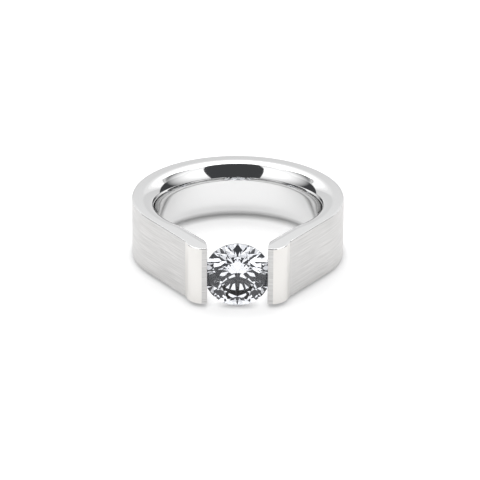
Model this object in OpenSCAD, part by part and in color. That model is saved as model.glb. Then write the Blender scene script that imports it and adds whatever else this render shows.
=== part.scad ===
// A tension set ring. An open band of solid metal, rounded inside for comfort,
// holds a round brilliant between its two thick ends. The finger goes through
// along Z, with the origin at the middle of the finger hole. The stone faces
// the front, which is -Y. Lengths are in millimetres and angles in degrees.

/* [Band] */
// Diameter of the finger hole at its narrowest
finger_d = 15.7; // [14.1:0.1:19.8]
// Wall of the closed back, from the finger hole to the outside
wall = 2.5; // [2.2:0.1:3.2]
// Wall of the two straight arms in front
arm_wall = 2.6; // [2.3:0.1:3.3]
// Width of the band along the finger
band_w = 5.8; // [5.2:0.1:8]
// How far each side is rounded about a centre of its own, off the finger axis
side_shift = 1.15; // [0.6:0.05:1.8]
// Angle between an arm and the line across both seats
arm_angle = 55.5; // [52:0.5:59]

/* [Rounded inside] */
// How far the rounding reaches out into the flat rim
comfort_in = 1.45; // [1:0.05:1.5]
// How far the rounding reaches along the finger hole from each rim
comfort_depth = 1.8; // [1.6:0.05:2.2]

/* [Ends] */
// How deep the stone's edge sits in each seat
seat_bite = 0.32; // [0.25:0.01:0.5]
// Distance from a seat out to the crease where the brushed arm ends
crease_out = 2.12; // [1.9:0.02:2.4]
// Length of the short flat beyond the crease
end_flat = 0.63; // [0.4:0.01:0.9]
// Angle of that short flat from the line across both seats
end_angle = 72; // [66:1:76]
// Radius of the rounded front of each end
end_r = 1.8; // [1.5:0.05:2.1]
// Width of the narrow facet beside each seat
facet_w = 0.52; // [0.3:0.01:0.7]
// How far that facet falls back towards the seat
facet_drop = 0.12; // [0.05:0.01:0.2]
// Metal left in front of the groove in each seat
seat_lip = 0.14; // [0.1:0.01:0.3]
// How far back the upright corner behind each seat is cut off, along both its faces
seat_corner_cut = 1.6; // [0.6:0.1:1.8]

/* [Stone] */
// Diameter of the stone at its girdle
stone_d = 6.4; // [6:0.1:7]
// Diameter of the table as a share of the stone's
table_share = 0.57; // [0.53:0.01:0.62]
// Angle of the large facets above the girdle
crown_angle = 34.5; // [32:0.5:36]
// Angle of the large facets below the girdle
pavilion_angle = 40.75; // [40:0.25:41.5]
// Thickness of the girdle
girdle_t = 0.18; // [0.16:0.01:0.3]
// How far the small facets round the table reach towards the girdle
star_share = 0.5; // [0.4:0.05:0.6]
// How far the facets below the girdle reach towards the point
lower_share = 0.78; // [0.7:0.01:0.85]
// Diameter of the tiny flat at the point
culet_d = 0.12; // [0.05:0.01:0.2]
// Gap between the stone and its groove
stone_gap = 0.02; // [0.01:0.01:0.05]

/* [Hidden] */
$fn = 96;

// How far the cutting shapes run past the metal
past = 1;
finger_r = finger_d / 2;
back_r = finger_r + wall;
side_r = back_r - side_shift;
seat_x = stone_d / 2 - seat_bite;

// Directions along the left arm, away from the back, and out through its wall
arm_dir = [cos(arm_angle), -sin(arm_angle)];
arm_out = [-sin(arm_angle), -cos(arm_angle)];
// Distances from the finger axis to the arm's outer and inner faces
arm_far = side_shift * sin(arm_angle) + side_r;
arm_near = arm_far - arm_wall;

// Outline of the left end, from where the arm leaves the rounded side
side_centre = [-side_shift, 0];
arm_start = side_centre + side_r * arm_out;
crease_x = -(seat_x + crease_out);
crease = arm_start + arm_dir * ((crease_x - arm_start.x) / arm_dir.x);
end_dir = [cos(end_angle), -sin(end_angle)];
end_start = crease + end_flat * end_dir;
end_centre = end_start + end_r * [sin(end_angle), cos(end_angle)];
facet_x = -(seat_x + facet_w);
facet_from_centre = facet_x - end_centre.x;
facet_start = [facet_x, end_centre.y - sqrt(end_r ^ 2 - facet_from_centre ^ 2)];
seat_front = [-seat_x, facet_start.y + facet_drop];

// Upright corner between the arm's inner face and the seat
seat_corner = [-seat_x, -(arm_near - seat_x * sin(arm_angle)) / cos(arm_angle)];

// The stone's girdle lies behind the lip, the groove's front flank and half its width
crown_flank = seat_bite * tan(crown_angle);
girdle_y = seat_front.y + seat_lip + crown_flank + girdle_t / 2 + stone_gap;
stone_r = stone_d / 2;
table_r = stone_r * table_share;
crown_h = (stone_r - table_r) * tan(crown_angle);

// The rounding is one arc, tangent to the inner wall
comfort_r = (comfort_in ^ 2 + comfort_depth ^ 2) / (2 * comfort_in);

// The corner that the rounding takes away, with room beyond the rim
module rounded_corner() {
    difference() {
        translate([0, -past]) square([comfort_r, comfort_depth + past]);
        translate([comfort_r, comfort_depth]) circle(comfort_r);
    }
}

// Section of the hollow beside an inner wall that stands at x = at, from x = from
module hollow_section(from, at) {
    half_w = band_w / 2;
    translate([from, -half_w - past]) square([at - from, band_w + 2 * past]);
    for (side = [0, 1]) {
        mirror([0, side]) translate([at, half_w]) mirror([0, 1]) rounded_corner();
    }
}

// Copies the left half to the right as well
module both_sides() {
    for (side = [0, 1]) {
        mirror([side, 0, 0]) children();
    }
}

// Plan of the band's outside, on the left of the finger axis. The end's round front
// is a whole disc: the gap between the arms takes off what reaches into it.
module left_outline() {
    intersection() {
        circle(back_r);
        translate([-2 * back_r, 0]) square(2 * back_r);
    }
    intersection() {
        translate(side_centre) circle(side_r);
        translate([-2 * back_r, -2 * back_r]) square(2 * back_r);
    }
    difference() {
        union() {
            polygon([[0, 0], side_centre, arm_start, crease, end_start, end_centre]);
            translate(end_centre) circle(end_r);
        }
        facet_cut();
    }
}

// What the narrow facet beside the seat takes off the round front
module facet_cut() {
    run = (seat_front - facet_start) * past / facet_w;
    polygon([facet_start - run, seat_front + run, seat_front + run - [0, past],
        facet_start - run - [0, past]]);
}

// Plan of the wedge of air between the arms, its corners cut off behind the seats.
// It stays a little inside the arms' inner faces, which the arms' own hollows cut.
module front_gap() {
    inside = past / 4;
    half_turn = (90 - arm_angle) / 2;
    cut_dir = [sin(half_turn), -cos(half_turn)];
    cut_start = seat_corner - seat_corner_cut * arm_dir;
    far = seat_front.y - past;
    polygon([
        [0, 0], (arm_near - inside) * arm_out, cut_start - inside / sin(half_turn) * cut_dir,
        seat_corner - [0, seat_corner_cut], [-seat_x, far], [0, far]
    ]);
}

// The hollow along the left arm, until all of it has passed the seat
module arm_hollow() {
    run = ((arm_near + comfort_in) * sin(arm_angle) - seat_x) / cos(arm_angle) + past / 4;
    rotate([90, 0, 270 - arm_angle]) translate([0, 0, -run])
        linear_extrude(run) hollow_section(arm_near - past / 2, arm_near);
}

// Groove that the stone's edge sits in, a little larger than the stone
module girdle_groove() {
    reach = stone_r + stone_gap;
    half_t = girdle_t / 2 + stone_gap;
    translate([0, girdle_y, 0]) rotate([90, 0, 0]) rotate_extrude()
        polygon([
            [0, -half_t - reach * tan(pavilion_angle)], [reach, -half_t],
            [reach, half_t], [0, half_t + reach * tan(crown_angle)]
        ]);
}

// The band: one piece of metal from one seat round to the other
module band() {
    color("gainsboro") difference() {
        translate([0, 0, -band_w / 2]) linear_extrude(band_w) both_sides() left_outline();
        rotate_extrude() hollow_section(0, finger_r);
        both_sides() arm_hollow();
        translate([0, 0, -band_w / 2 - past]) linear_extrude(band_w + 2 * past)
            both_sides() front_gap();
        girdle_groove();
    }
}

// The stone's facets come in eighths. Half an eighth is one small girdle facet wide.
EIGHTH = 360 / 8;
GIRDLE_STEPS = 64;

// A point of the stone at a radius, an angle round it and a height
function at(radius, angle, z) = [radius * cos(angle), radius * sin(angle), z];

// Eight points round the stone, starting from an angle
function ring_of_eight(radius, start, z) = [for (k = [0 : 7]) at(radius, start + k * EIGHTH, z)];

// How far a round girdle bulges past the chord of a small facet, at an angle
function bulge(angle) =
    stone_r * (cos(angle % (EIGHTH / 2) - EIGHTH / 4) - cos(EIGHTH / 4));

// Corner numbers of one small facet's edge along the girdle, from its first corner on
function girdle_run(first, k) =
    [for (j = [0 : GIRDLE_STEPS / 16]) first + (k * GIRDLE_STEPS / 16 + j) % GIRDLE_STEPS];

function backwards(list) = [for (i = [len(list) - 1 : -1 : 0]) list[i]];

// The stone with its table up. Large facets run from the table's corners to the
// girdle and from there to the point, and small ones fill in between them.
module brilliant() {
    half = EIGHTH / 2;
    top = girdle_t / 2;
    table_z = top + crown_h;
    culet_r = culet_d / 2 / cos(half);
    culet_z = -top - (stone_r - culet_d / 2) * tan(pavilion_angle);
    // Where neighbouring large facets meet, above and below the girdle
    star_r = table_r * cos(half) + star_share * (stone_r - table_r * cos(half));
    star_z = top + (stone_r - star_r * cos(half)) * tan(crown_angle);
    lower_r = stone_r * (1 - lower_share);
    lower_z = -top - (stone_r - lower_r * cos(half)) * tan(pavilion_angle);
    // Slopes of the small facets along the girdle
    upper_slope = (star_z - top) / ((stone_r - star_r) * cos(half / 2));
    lower_slope = (-top - lower_z) / ((stone_r - lower_r) * cos(half / 2));
    turns = [for (j = [0 : GIRDLE_STEPS - 1]) j * 360 / GIRDLE_STEPS];
    points = concat(
        ring_of_eight(table_r, 0, table_z),
        ring_of_eight(star_r, half, star_z),
        ring_of_eight(lower_r, half, lower_z),
        ring_of_eight(culet_r, half, culet_z),
        [for (a = turns) at(stone_r, a, top - bulge(a) * upper_slope)],
        [for (a = turns) at(stone_r, a, bulge(a) * lower_slope - top)]
    );
    star = 8;
    lower = 16;
    culet = 24;
    upper_edge = 32;
    lower_edge = upper_edge + GIRDLE_STEPS;
    eighth_steps = GIRDLE_STEPS / 8;
    faces = concat(
        [[for (k = [7 : -1 : 0]) k], [for (k = [0 : 7]) culet + k]],
        [for (k = [0 : 7]) [k, (k + 1) % 8, star + k]],
        [for (k = [0 : 7]) [k, star + k, upper_edge + k * eighth_steps, star + (k + 7) % 8]],
        [for (k = [0 : 15]) concat([star + floor(k / 2)], backwards(girdle_run(upper_edge, k)))],
        [for (j = [0 : GIRDLE_STEPS - 1]) let (next = (j + 1) % GIRDLE_STEPS)
            [upper_edge + j, upper_edge + next, lower_edge + next, lower_edge + j]],
        [for (k = [0 : 15]) concat([lower + floor(k / 2)], girdle_run(lower_edge, k))],
        [for (k = [0 : 7]) let (before = (k + 7) % 8)
            [lower_edge + k * eighth_steps, lower + k, culet + k, culet + before, lower + before]]
    );
    polyhedron(points, faces);
}

// The stone, its table to the front
module stone() {
    color("aliceblue") translate([0, girdle_y, 0]) rotate([90, 0, 0]) brilliant();
}

band();
stone();
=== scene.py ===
import bmesh
import bpy
import numpy as np
from mathutils import Matrix, Vector


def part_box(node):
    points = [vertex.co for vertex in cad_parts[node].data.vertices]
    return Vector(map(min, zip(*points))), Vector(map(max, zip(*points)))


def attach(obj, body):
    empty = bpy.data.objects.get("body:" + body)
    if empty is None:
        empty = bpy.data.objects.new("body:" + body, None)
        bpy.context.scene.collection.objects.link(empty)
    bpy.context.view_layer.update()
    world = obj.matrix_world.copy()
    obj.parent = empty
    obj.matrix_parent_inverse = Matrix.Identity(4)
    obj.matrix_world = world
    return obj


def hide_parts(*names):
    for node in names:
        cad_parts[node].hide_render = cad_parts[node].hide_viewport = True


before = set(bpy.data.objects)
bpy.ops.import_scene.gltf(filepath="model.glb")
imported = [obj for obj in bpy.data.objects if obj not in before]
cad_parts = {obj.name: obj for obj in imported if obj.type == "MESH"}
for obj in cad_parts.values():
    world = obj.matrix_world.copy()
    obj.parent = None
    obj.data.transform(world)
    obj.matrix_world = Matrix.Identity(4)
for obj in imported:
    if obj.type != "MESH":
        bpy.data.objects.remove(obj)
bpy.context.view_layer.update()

# The band. One bar of white metal bent round the finger and cut open in front. Its
# outside is brushed along its length as far as a crease near each end, and satin on the
# rounded blocks beyond. The rims and the rounded inside are polished.
MM = 0.001


def srgb(text):
    """A colour written as sRGB hex, as linear red, green, blue and alpha."""
    c = np.array([int(text[i : i + 2], 16) for i in (1, 3, 5)]) / 255
    linear = np.where(c <= 0.04045, c / 12.92, ((c + 0.055) / 1.055) ** 2.4)
    return (*linear, 1.0)


def node(material, kind, links=None, **settings):
    """Adds a node with its settings, and links sockets of its own to others' outputs."""
    new = material.node_tree.nodes.new(kind)
    for name, value in settings.items():
        if name in new.inputs:
            new.inputs[name].default_value = value
        else:
            setattr(new, name, value)
    for name, output in (links or {}).items():
        material.node_tree.links.new(output, new.inputs[name])
    return new


def new_material(name):
    """An empty node material and its output node."""
    material = bpy.data.materials.new(name)
    material.use_nodes = True
    material.node_tree.nodes.clear()
    return material, material.node_tree.nodes.new("ShaderNodeOutputMaterial")


def unit(angle):
    """The direction at an angle from +X towards +Y, in degrees."""
    return np.stack([np.cos(np.radians(angle)), np.sin(np.radians(angle))], -1)


HALF_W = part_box("band")[1].z / MM
BACK_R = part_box("band")[1].y / MM
FINGER_R = 7.85
SIDE_SHIFT = 1.15
ARM_ANGLE = 55.5
ARM_WALL = 2.6
SEAT_X = 2.88
CREASE_X = -5.0
END_FLAT = 0.63
END_ANGLE = 72
END_R = 1.8
FACET_W = 0.52
FACET_DROP = 0.12
SEAT_EDGE_R = 0.06
COMFORT_IN = 1.45
COMFORT_DEPTH = 1.8
EDGE_R = 0.05
END_EDGE_R = 0.08
# Half-widths of the soft blends where the round hollow meets an arm and an arm a seat
HOLLOW_BLEND = 0.2
SEAT_BLEND = 2.0

arm_dir = unit(-ARM_ANGLE)
arm_out = unit(270 - ARM_ANGLE)
side_centre = np.array([-SIDE_SHIFT, 0.0])
side_r = BACK_R - SIDE_SHIFT
arm_near = side_centre @ arm_out + side_r - ARM_WALL
arm_start = side_centre + side_r * arm_out
crease = arm_start + arm_dir * (CREASE_X - arm_start[0]) / arm_dir[0]
end_dir, end_out = unit(-END_ANGLE), unit(270 - END_ANGLE)
end_start = crease + END_FLAT * end_dir
end_centre = end_start - END_R * end_out
facet_x = -(SEAT_X + FACET_W)
facet_start = np.array(
    [facet_x, end_centre[1] - np.sqrt(END_R**2 - (facet_x - end_centre[0]) ** 2)]
)
seat_front = np.array([-SEAT_X, facet_start[1] + FACET_DROP])
facet_dir = (seat_front - facet_start) / np.hypot(*(seat_front - facet_start))
facet_out = np.array([facet_dir[1], -facet_dir[0]])


def along(start, end, steps):
    """Points spaced evenly from start to end, without the end."""
    return start + (end - start) * np.linspace(0, 1, steps, endpoint=False)[:, None]


def outline():
    """The left half's outside in plan, from the middle of the back to the seat.

    Returns points, outward directions and which of them belong to the end block. Arcs
    follow their own circles, and the arm, the flat and the facet are straight.
    """
    back = unit(np.linspace(90, 180, 72, endpoint=False))
    side = unit(np.linspace(180, 270 - ARM_ANGLE, 30, endpoint=False))
    end_turn = np.degrees(np.arctan2(*(facet_start - end_centre)[::-1])) % 360
    end = unit(np.linspace(270 - END_ANGLE, end_turn, 26, endpoint=False))
    seat_turn = np.degrees(np.arctan2(*facet_out[::-1])) % 360
    seat = unit(np.linspace(seat_turn, 360, 6))
    # The small rounding next to the seat touches the facet and the seat's plane
    seat_x = -SEAT_X - SEAT_EDGE_R
    reach = (seat_x + SEAT_EDGE_R * facet_out[0] - facet_start[0]) / facet_dir[0]
    facet_end = facet_start + reach * facet_dir
    seat_centre = facet_end - SEAT_EDGE_R * facet_out
    arm = along(arm_start, crease, 24)
    flat = along(crease, end_start, 8)
    facet = along(facet_start, facet_end, 6)
    points = [
        BACK_R * back, side_centre + side_r * side, arm, flat,
        end_centre + END_R * end, facet, seat_centre + SEAT_EDGE_R * seat,
    ]
    outward = [
        back, side, np.tile(arm_out, (len(arm), 1)), np.tile(end_out, (len(flat), 1)),
        end, np.tile(facet_out, (len(facet), 1)), seat,
    ]
    at_end = np.repeat([0, 0, 0, 1, 1, 1, 1], [len(p) for p in points]).astype(bool)
    points, outward = np.vstack(points), np.vstack(outward)
    # At the crease both faces share one edge, so it takes the mean direction
    first = np.argmax(at_end)
    outward[first] = (arm_out + end_out) / (1 + arm_out @ end_out)
    return points, outward, at_end


def softer_min(a, b, blend):
    """The smaller of two, rounded over a blend's width where they are nearly equal."""
    near = np.clip(blend - np.abs(a - b), 0, None) / blend
    return np.minimum(a, b) - near**2 * blend / 4


def depth_in(p):
    """How far plan points lie beyond the inner wall, which is a circle and an arm."""
    round_part = np.hypot(p[..., 0], p[..., 1]) - FINGER_R
    arm_part = np.where(p @ arm_dir > 0, p @ arm_out - arm_near, np.inf)
    return softer_min(round_part, np.minimum(arm_part, 99.0), HOLLOW_BLEND)


def clear_of_air(p):
    """Positive where a plan point is in the metal: beyond the wall, outside the seat."""
    seat_part = np.where(p[..., 1] < 0, -SEAT_X - p[..., 0], 99.0)
    return softer_min(depth_in(p), seat_part, SEAT_BLEND)


def rim_height(depth):
    """Height of the band's top over plan points, a quarter ellipse down to the wall."""
    left = 1 - np.clip(depth, 0, COMFORT_IN) / COMFORT_IN
    return HALF_W - COMFORT_DEPTH * (1 - np.sqrt(1 - left**2))


def inner_edge(start, toward, reach):
    """Where lines from plan points first leave the metal, found by halving steps."""
    low, high = np.zeros(len(start)), np.full(len(start), reach)
    for _ in range(40):
        middle = (low + high) / 2
        inside = clear_of_air(start + toward * middle[:, None]) > 0
        low, high = np.where(inside, middle, low), np.where(inside, high, middle)
    return start + toward * low[:, None]


def band_grid():
    """The left half of the band as a grid: stations along it, a closed section round it.

    Each section runs from the middle of the outside over the rounded edge, straight
    across the rim, down the comfort rounding and to the middle of the inside. The lower
    half mirrors the upper. Returns points, mm along the band, end block stations, and how
    many rows of the upper half are straight outside and straight inside.
    """
    outer, outward, at_end = outline()
    inner = np.empty_like(outer)
    free = ~at_end
    inner[free] = inner_edge(outer[free], -outward[free], 5.0)
    last_free = inner[free][-1]
    rows = np.linspace(last_free[1], seat_front[1] + 0.2, at_end.sum() + 1)[1:]
    from_metal = np.stack([np.full(len(rows), -4.5), rows], -1)
    inner[at_end] = inner_edge(from_metal, np.array([1.0, 0.0]), 4.0)

    edge_r = np.where(at_end, END_EDGE_R, EDGE_R)[:, None]
    wall_z = np.linspace(0, 1, 6) * (HALF_W - edge_r)
    outer_part = np.broadcast_to(outer[:, None], (*wall_z.shape, 2))
    turn = np.radians(np.linspace(15, 90, 6))
    edge = outer[:, None] - outward[:, None] * (edge_r * (1 - np.cos(turn)))[..., None]
    edge_z = HALF_W - edge_r + edge_r * np.sin(turn)
    start = edge[:, -1]
    across = np.concatenate([
        np.linspace(BACK_R - FINGER_R, COMFORT_IN, 6, endpoint=False),
        COMFORT_IN * (1 - np.cos(np.radians(np.linspace(90, 0, 28)))),
    ])
    share = (1 - across / across[0])[1:, None]
    rim = start[:, None] + (inner - start)[:, None] * share
    rim_z = rim_height(depth_in(rim))
    down = np.linspace(1, 0, 16)[1:]
    inside = np.broadcast_to(inner[:, None], (len(inner), len(down), 2))
    inside_z = rim_z[:, -1:] * down
    plan = np.concatenate([outer_part, edge, rim, inside], 1)
    z = np.concatenate([wall_z, edge_z, rim_z, inside_z], 1)
    upper = np.concatenate([plan, z[..., None]], -1)
    lower = upper[:, -2:0:-1] * [1, 1, -1]
    steps = np.hypot(*np.diff(outer, axis=0).T)
    run = np.r_[0, np.cumsum(steps)]
    return np.concatenate([upper, lower], 1), run, at_end, wall_z.shape[1], len(down) + 1


def cut_groove(points):
    """Sinks the seat's face where the groove for the stone's girdle runs.

    The groove is a ring round the stone's axis with sloping flanks, so the face goes
    back to the radius that the ring has at each distance from the girdle's middle.
    """
    ahead = girdle_y - points[..., 1]
    slope = np.where(ahead > 0, CROWN_SLOPE, PAVILION_SLOPE)
    beyond = np.clip(np.abs(ahead) - GIRDLE_T / 2 - STONE_GAP, 0, None)
    ring = np.clip(STONE_R + STONE_GAP - beyond / slope, 0, None)
    reach = np.sqrt(np.clip(ring**2 - points[..., 2] ** 2, 0, None))
    on_seat = (np.abs(points[..., 0] + SEAT_X) < 0.01) & (reach > SEAT_X)
    points[..., 0] = np.where(on_seat, -reach, points[..., 0])


STONE_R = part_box("stone")[1].x / MM
STONE_GAP = 0.02
GIRDLE_T = 0.18
CROWN_SLOPE = np.tan(np.radians(34.5))
PAVILION_SLOPE = np.tan(np.radians(40.75))
TABLE_SHARE = 0.57
girdle_y = (
    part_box("stone")[0].y / MM + STONE_R * (1 - TABLE_SHARE) * CROWN_SLOPE + GIRDLE_T / 2
)

left, run, at_end, brushed_rows, inside_rows = band_grid()
cut_groove(left)
stations, around = left.shape[:2]
grid = np.concatenate([left[::-1], (left * [-1, 1, 1])[1:]])
run = np.concatenate([-run[::-1], run[1:]])
at_end = np.concatenate([at_end[::-1], at_end[1:]])
total = len(grid)
number = np.arange(total * around).reshape(total, around)
# Going round the band from the left seat, a section runs outside, top, inside, bottom
a, b = number[:-1], np.roll(number[:-1], -1, 1)
c, d = np.roll(number[1:], -1, 1), number[1:]
walls = np.stack([a, b, c, d], -1)
upper_half = np.arange((around + 2) // 2)
lower_half = (-upper_half) % around


def cap(ring, flip):
    """Closes an end with faces between the section's upper half and its lower half.

    The outside and the inside run straight across the band, so one face spans each.
    """
    up, low = ring[upper_half], ring[lower_half]
    turns = np.r_[0, brushed_rows : len(up) - inside_rows, len(up) - 1]
    faces = []
    for first, last in zip(turns[:-1], turns[1:]):
        face = [*up[first : last + 1], *low[first : last + 1][::-1]]
        faces.append(list(dict.fromkeys(face))[:: -1 if flip else 1])
    return faces


faces = walls.reshape(-1, 4).tolist() + cap(number[0], True) + cap(number[-1], False)
corners = np.concatenate(faces)
band_mesh = bpy.data.meshes.new("ring_band")
band_mesh.from_pydata((grid.reshape(-1, 3) * MM).tolist(), [], faces)
end_walls = at_end[:-1] & at_end[1:]
column = np.arange(around)
outside = np.minimum(column, around - 1 - column) < brushed_rows
on_facet = np.abs(grid[:-1, 0, 0] + grid[1:, 0, 0]) < 2 * -facet_x
wall_finish = np.where(end_walls & ~on_facet, 2, 0)[:, None]
wall_finish = np.where(outside[None], wall_finish, 1)
finish = np.ones(len(faces), np.int32)
finish[: wall_finish.size] = wall_finish.ravel()
band_mesh.polygons.foreach_set("material_index", finish)
# The end faces stay flat, so that the seats reflect as the plain faces they are
band_mesh.polygons.foreach_set("use_smooth", np.arange(len(faces)) < wall_finish.size)
corner_run = np.repeat(run, around)[corners]
corner_z = grid.reshape(-1, 3)[corners, 2]
brush_map = band_mesh.uv_layers.new(name="brush_mm")
brush_map.data.foreach_set("uv", np.stack([corner_run, corner_z], -1).ravel())
band_mesh.update()
welder = bmesh.new()
welder.from_mesh(band_mesh)
bmesh.ops.remove_doubles(welder, verts=welder.verts, dist=0.0005 * MM)
bmesh.ops.recalc_face_normals(welder, faces=welder.faces)
welder.to_mesh(band_mesh)
welder.free()
band_mesh.set_sharp_from_angle(angle=np.radians(9))
ring_band = bpy.data.objects.new("ring_band", band_mesh)
bpy.context.scene.collection.objects.link(ring_band)
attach(ring_band, "root")
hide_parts("band")

# Brushed white metal. Fine grooves along the band spread its shine across them.
brushed, out = new_material("brushed_white_metal")
where = node(brushed, "ShaderNodeUVMap", uv_map="brush_mm")
# A groove is drawn about 4 mm long and 0.1 mm wide, coarser than real, so that it shows
streak = node(
    brushed, "ShaderNodeMapping", {"Vector": where.outputs["UV"]}, Scale=(0.25, 10, 1),
)
grain = node(
    brushed, "ShaderNodeTexNoise", {"Vector": streak.outputs["Vector"]},
    Scale=1.0, Detail=5.0, Roughness=0.65,
)
tone = node(brushed, "ShaderNodeMapRange", {"Value": grain.outputs["Fac"]})
tone.inputs["From Min"].default_value = 0.32
tone.inputs["From Max"].default_value = 0.68
tone.inputs["To Min"].default_value = 0.0
tone.inputs["To Max"].default_value = 1.0
tint = node(
    brushed, "ShaderNodeMix", {"Factor": tone.outputs["Result"]}, data_type="RGBA",
)
tint.inputs[6].default_value = srgb("#bfbebd")
tint.inputs[7].default_value = srgb("#dddcdb")
bump = node(
    brushed, "ShaderNodeBump", {"Height": grain.outputs["Fac"]}, Strength=0.25, Distance=0.00004,
)
metal = node(
    brushed, "ShaderNodeBsdfPrincipled",
    {"Base Color": tint.outputs[2], "Normal": bump.outputs["Normal"]},
    Metallic=1.0, Roughness=0.36,
)
brushed.node_tree.links.new(metal.outputs["BSDF"], out.inputs["Surface"])

# Polished white metal, as on the rims, both ends and the inside.
polished, out = new_material("polished_white_metal")
metal = node(polished, "ShaderNodeBsdfPrincipled", Metallic=1.0, Roughness=0.06)
metal.inputs["Base Color"].default_value = srgb("#e6e6e6")
polished.node_tree.links.new(metal.outputs["BSDF"], out.inputs["Surface"])

# Satin white metal, as on the outside of both end blocks.
satin, out = new_material("satin_white_metal")
metal = node(satin, "ShaderNodeBsdfPrincipled", Metallic=1.0, Roughness=0.3)
metal.inputs["Base Color"].default_value = srgb("#e5e3e0")
satin.node_tree.links.new(metal.outputs["BSDF"], out.inputs["Surface"])
for finished in (brushed, polished, satin):
    band_mesh.materials.append(finished)

# The stone. A round brilliant of clear diamond, cut and polished in flat facets round a
# matt girdle. Its high refraction sends what is round it back as small bright and dark
# patches. The band holds it by the girdle alone.
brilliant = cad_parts["stone"]
diamond, out = new_material("cut_diamond")
clear = node(
    diamond, "ShaderNodeBsdfPrincipled",
    **{
        "Base Color": srgb("#f4f6fb"), "Roughness": 0.0, "IOR": 2.42,
        "Transmission Weight": 1.0, "Specular Tint": srgb("#7c7c7c"),
    },
)
diamond.node_tree.links.new(clear.outputs["BSDF"], out.inputs["Surface"])
# The girdle is left as ground, so it shows as a thin grey line round the stone.
girdle, out = new_material("ground_diamond")
ground = node(
    girdle, "ShaderNodeBsdfPrincipled", **{"Base Color": srgb("#5c5e62"), "Roughness": 0.6}
)
girdle.node_tree.links.new(ground.outputs["BSDF"], out.inputs["Surface"])
brilliant.data.materials.clear()
for finished in (diamond, girdle):
    brilliant.data.materials.append(finished)
facing = np.empty(3 * len(brilliant.data.polygons))
brilliant.data.polygons.foreach_get("normal", facing)
on_girdle = np.abs(facing.reshape(-1, 3)[:, 1]) < 0.01
brilliant.data.polygons.foreach_set("material_index", on_girdle.astype(np.int32))

# The floor. A sheet of matt white card that the ring lies on, touching it at the
# stone's lowest point and at the back of the lower rim. Besides the lamps' light it
# glows of itself. The glow is a painted light that stands in for light from all round,
# and it is painted dimmer in the last 0.8 mm beside the ring as the narrow painted
# contact shadow.
FLOOR_HALF = 3.0
stone_foot = Vector((0, girdle_y * MM, -STONE_R * MM))
back_foot = Vector((0, BACK_R * MM, -HALF_W * MM))
slope = (back_foot.z - stone_foot.z) / (back_foot.y - stone_foot.y)
floor_z = [stone_foot.z + slope * (y - stone_foot.y) for y in (-FLOOR_HALF, FLOOR_HALF)]
floor_mesh = bpy.data.meshes.new("floor")
floor_mesh.from_pydata(
    [
        (-FLOOR_HALF, -FLOOR_HALF, floor_z[0]), (FLOOR_HALF, -FLOOR_HALF, floor_z[0]),
        (FLOOR_HALF, FLOOR_HALF, floor_z[1]), (-FLOOR_HALF, FLOOR_HALF, floor_z[1]),
    ],
    [], [(0, 1, 2, 3)],
)
floor = bpy.data.objects.new("floor", floor_mesh)
bpy.context.scene.collection.objects.link(floor)
card, out = new_material("white_card_painted_glow")
# Painted light: the card's glow stands in for light from all round, and surfaces within 0.8 mm
# dim it into a painted contact shadow.
painted_contact_shade = node(card, "ShaderNodeAmbientOcclusion", Distance=0.8 * MM)
painted_glow = node(
    card, "ShaderNodeMapRange", {"Value": painted_contact_shade.outputs["AO"]},
    **{"To Min": 0.12, "To Max": 0.66},
)
paper = node(
    card, "ShaderNodeBsdfPrincipled", {"Emission Strength": painted_glow.outputs["Result"]},
    **{"Base Color": srgb("#bcbcbc"), "Roughness": 0.9, "Emission Color": srgb("#ffffff")},
)
card.node_tree.links.new(paper.outputs["BSDF"], out.inputs["Surface"])
floor_mesh.materials.append(card)

# The light. A dim room with a pale wall behind the ring that brightens upwards, a soft
# white box above the wall and one on each side in front. Straight in front of the ring
# the room stays dark, and the rounded inside of the band shows that as its dark patch.
world = bpy.data.worlds.new("room")
world.use_nodes = True
room = world.node_tree.nodes["Background"]
room.inputs["Color"].default_value = srgb("#454648")
room.inputs["Strength"].default_value = 1.0
bpy.context.scene.world = world
bpy.context.scene.view_settings.view_transform = "Standard"


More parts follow.
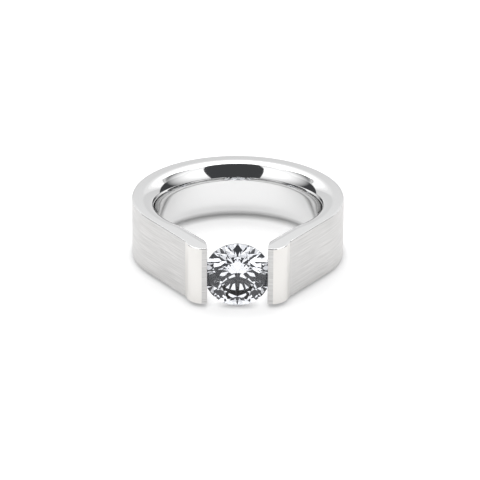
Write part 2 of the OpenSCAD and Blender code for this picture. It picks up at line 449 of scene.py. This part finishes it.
def softbox(
    name, azimuth, elevation, distance, size, brightness, slide=(0, 0), lean=0, spread=180
):
    """A rectangular lamp whose plane faces the ring, slid and leaned in that plane.

    Azimuth 0 is in front, towards -Y, and 90 on the right, towards +X. It looks as
    bright as asked straight ahead, and fades to nothing at half its spread.
    """
    half = np.radians(min(spread, 179.9) / 2)
    lamp = bpy.data.lights.new(name, "AREA")
    lamp.shape = "RECTANGLE"
    lamp.size, lamp.size_y = size
    lamp.spread = 2 * half
    lamp.energy = np.pi * size[0] * size[1] * brightness * (1 - half / np.tan(half))
    box = bpy.data.objects.new(name, lamp)
    turn, lift = np.radians(azimuth), np.radians(elevation)
    place = distance * Vector(
        (np.sin(turn) * np.cos(lift), -np.cos(turn) * np.cos(lift), np.sin(lift))
    )
    facing = (-place).to_track_quat("-Z", "Y").to_matrix().to_4x4()
    in_plane = Matrix.Translation((*slide, 0)) @ Matrix.Rotation(np.radians(lean), 4, "Z")
    box.matrix_world = Matrix.Translation(place) @ facing @ in_plane
    bpy.context.scene.collection.objects.link(box)


softbox("wall_behind", 180, 22, 1.5, (3.5, 1.3), 0.73)
# Each of these starts a little higher up the wall, so that it brightens in small steps
for step, height in enumerate((36.2, 36.6, 37.0, 37.4)):
    softbox(f"wall_middle_{step}", 180, height, 1.5, (3.5, 0.7), 0.045)
for step, height in enumerate((38.9, 41.9)):
    softbox(f"wall_top_{step}", 180, height, 1.5, (3.5, 0.6), 0.14)
softbox("box_above", 180, 62, 1.0, (0.9, 0.62), 3.0)
softbox("ceiling", 180, 66, 1.0, (2.4, 0.7), 0.2)
softbox("box_left", -50, 43, 1.0, (1.56, 2.3), 1.8, (-0.655, -0.17), lean=23.1, spread=112)
softbox("box_right", 50, 43, 1.0, (1.55, 2.35), 1.8, (0.808, -0.204), lean=-22.8, spread=112)

# The camera. It looks at the ring from the front and above through a long lens. The
# values were read off the photograph's own outline.
PICTURE = 480
SENSOR = 36.0
VIEW_LIFT = 24.07
VIEW_ROLL = 0.34
VIEW_SCALE = 10.211
VIEW_DISTANCE = 406.0
ring_in_picture = np.array([237.8, 224.1])
lift, roll = np.radians([VIEW_LIFT, VIEW_ROLL])
forward = Vector((0, np.cos(lift), -np.sin(lift)))
level_up = Vector((0, np.sin(lift), np.cos(lift)))
right = Vector((1, 0, 0)) * np.cos(roll) + level_up * np.sin(roll)
up = level_up * np.cos(roll) - Vector((1, 0, 0)) * np.sin(roll)
aside = (ring_in_picture - PICTURE / 2) / VIEW_SCALE * [1, -1]
eye = (-aside[0] * right - aside[1] * up - VIEW_DISTANCE * forward) * MM
lens = bpy.data.cameras.new("camera")
lens.sensor_width = SENSOR
lens.lens = VIEW_SCALE * VIEW_DISTANCE / PICTURE * SENSOR
lens.clip_start, lens.clip_end = 0.01, 10.0
camera = bpy.data.objects.new("camera", lens)
axes = Matrix((right, up, -forward)).transposed().to_4x4()
camera.matrix_world = Matrix.Translation(eye) @ axes
bpy.context.scene.collection.objects.link(camera)
bpy.context.scene.camera = camera
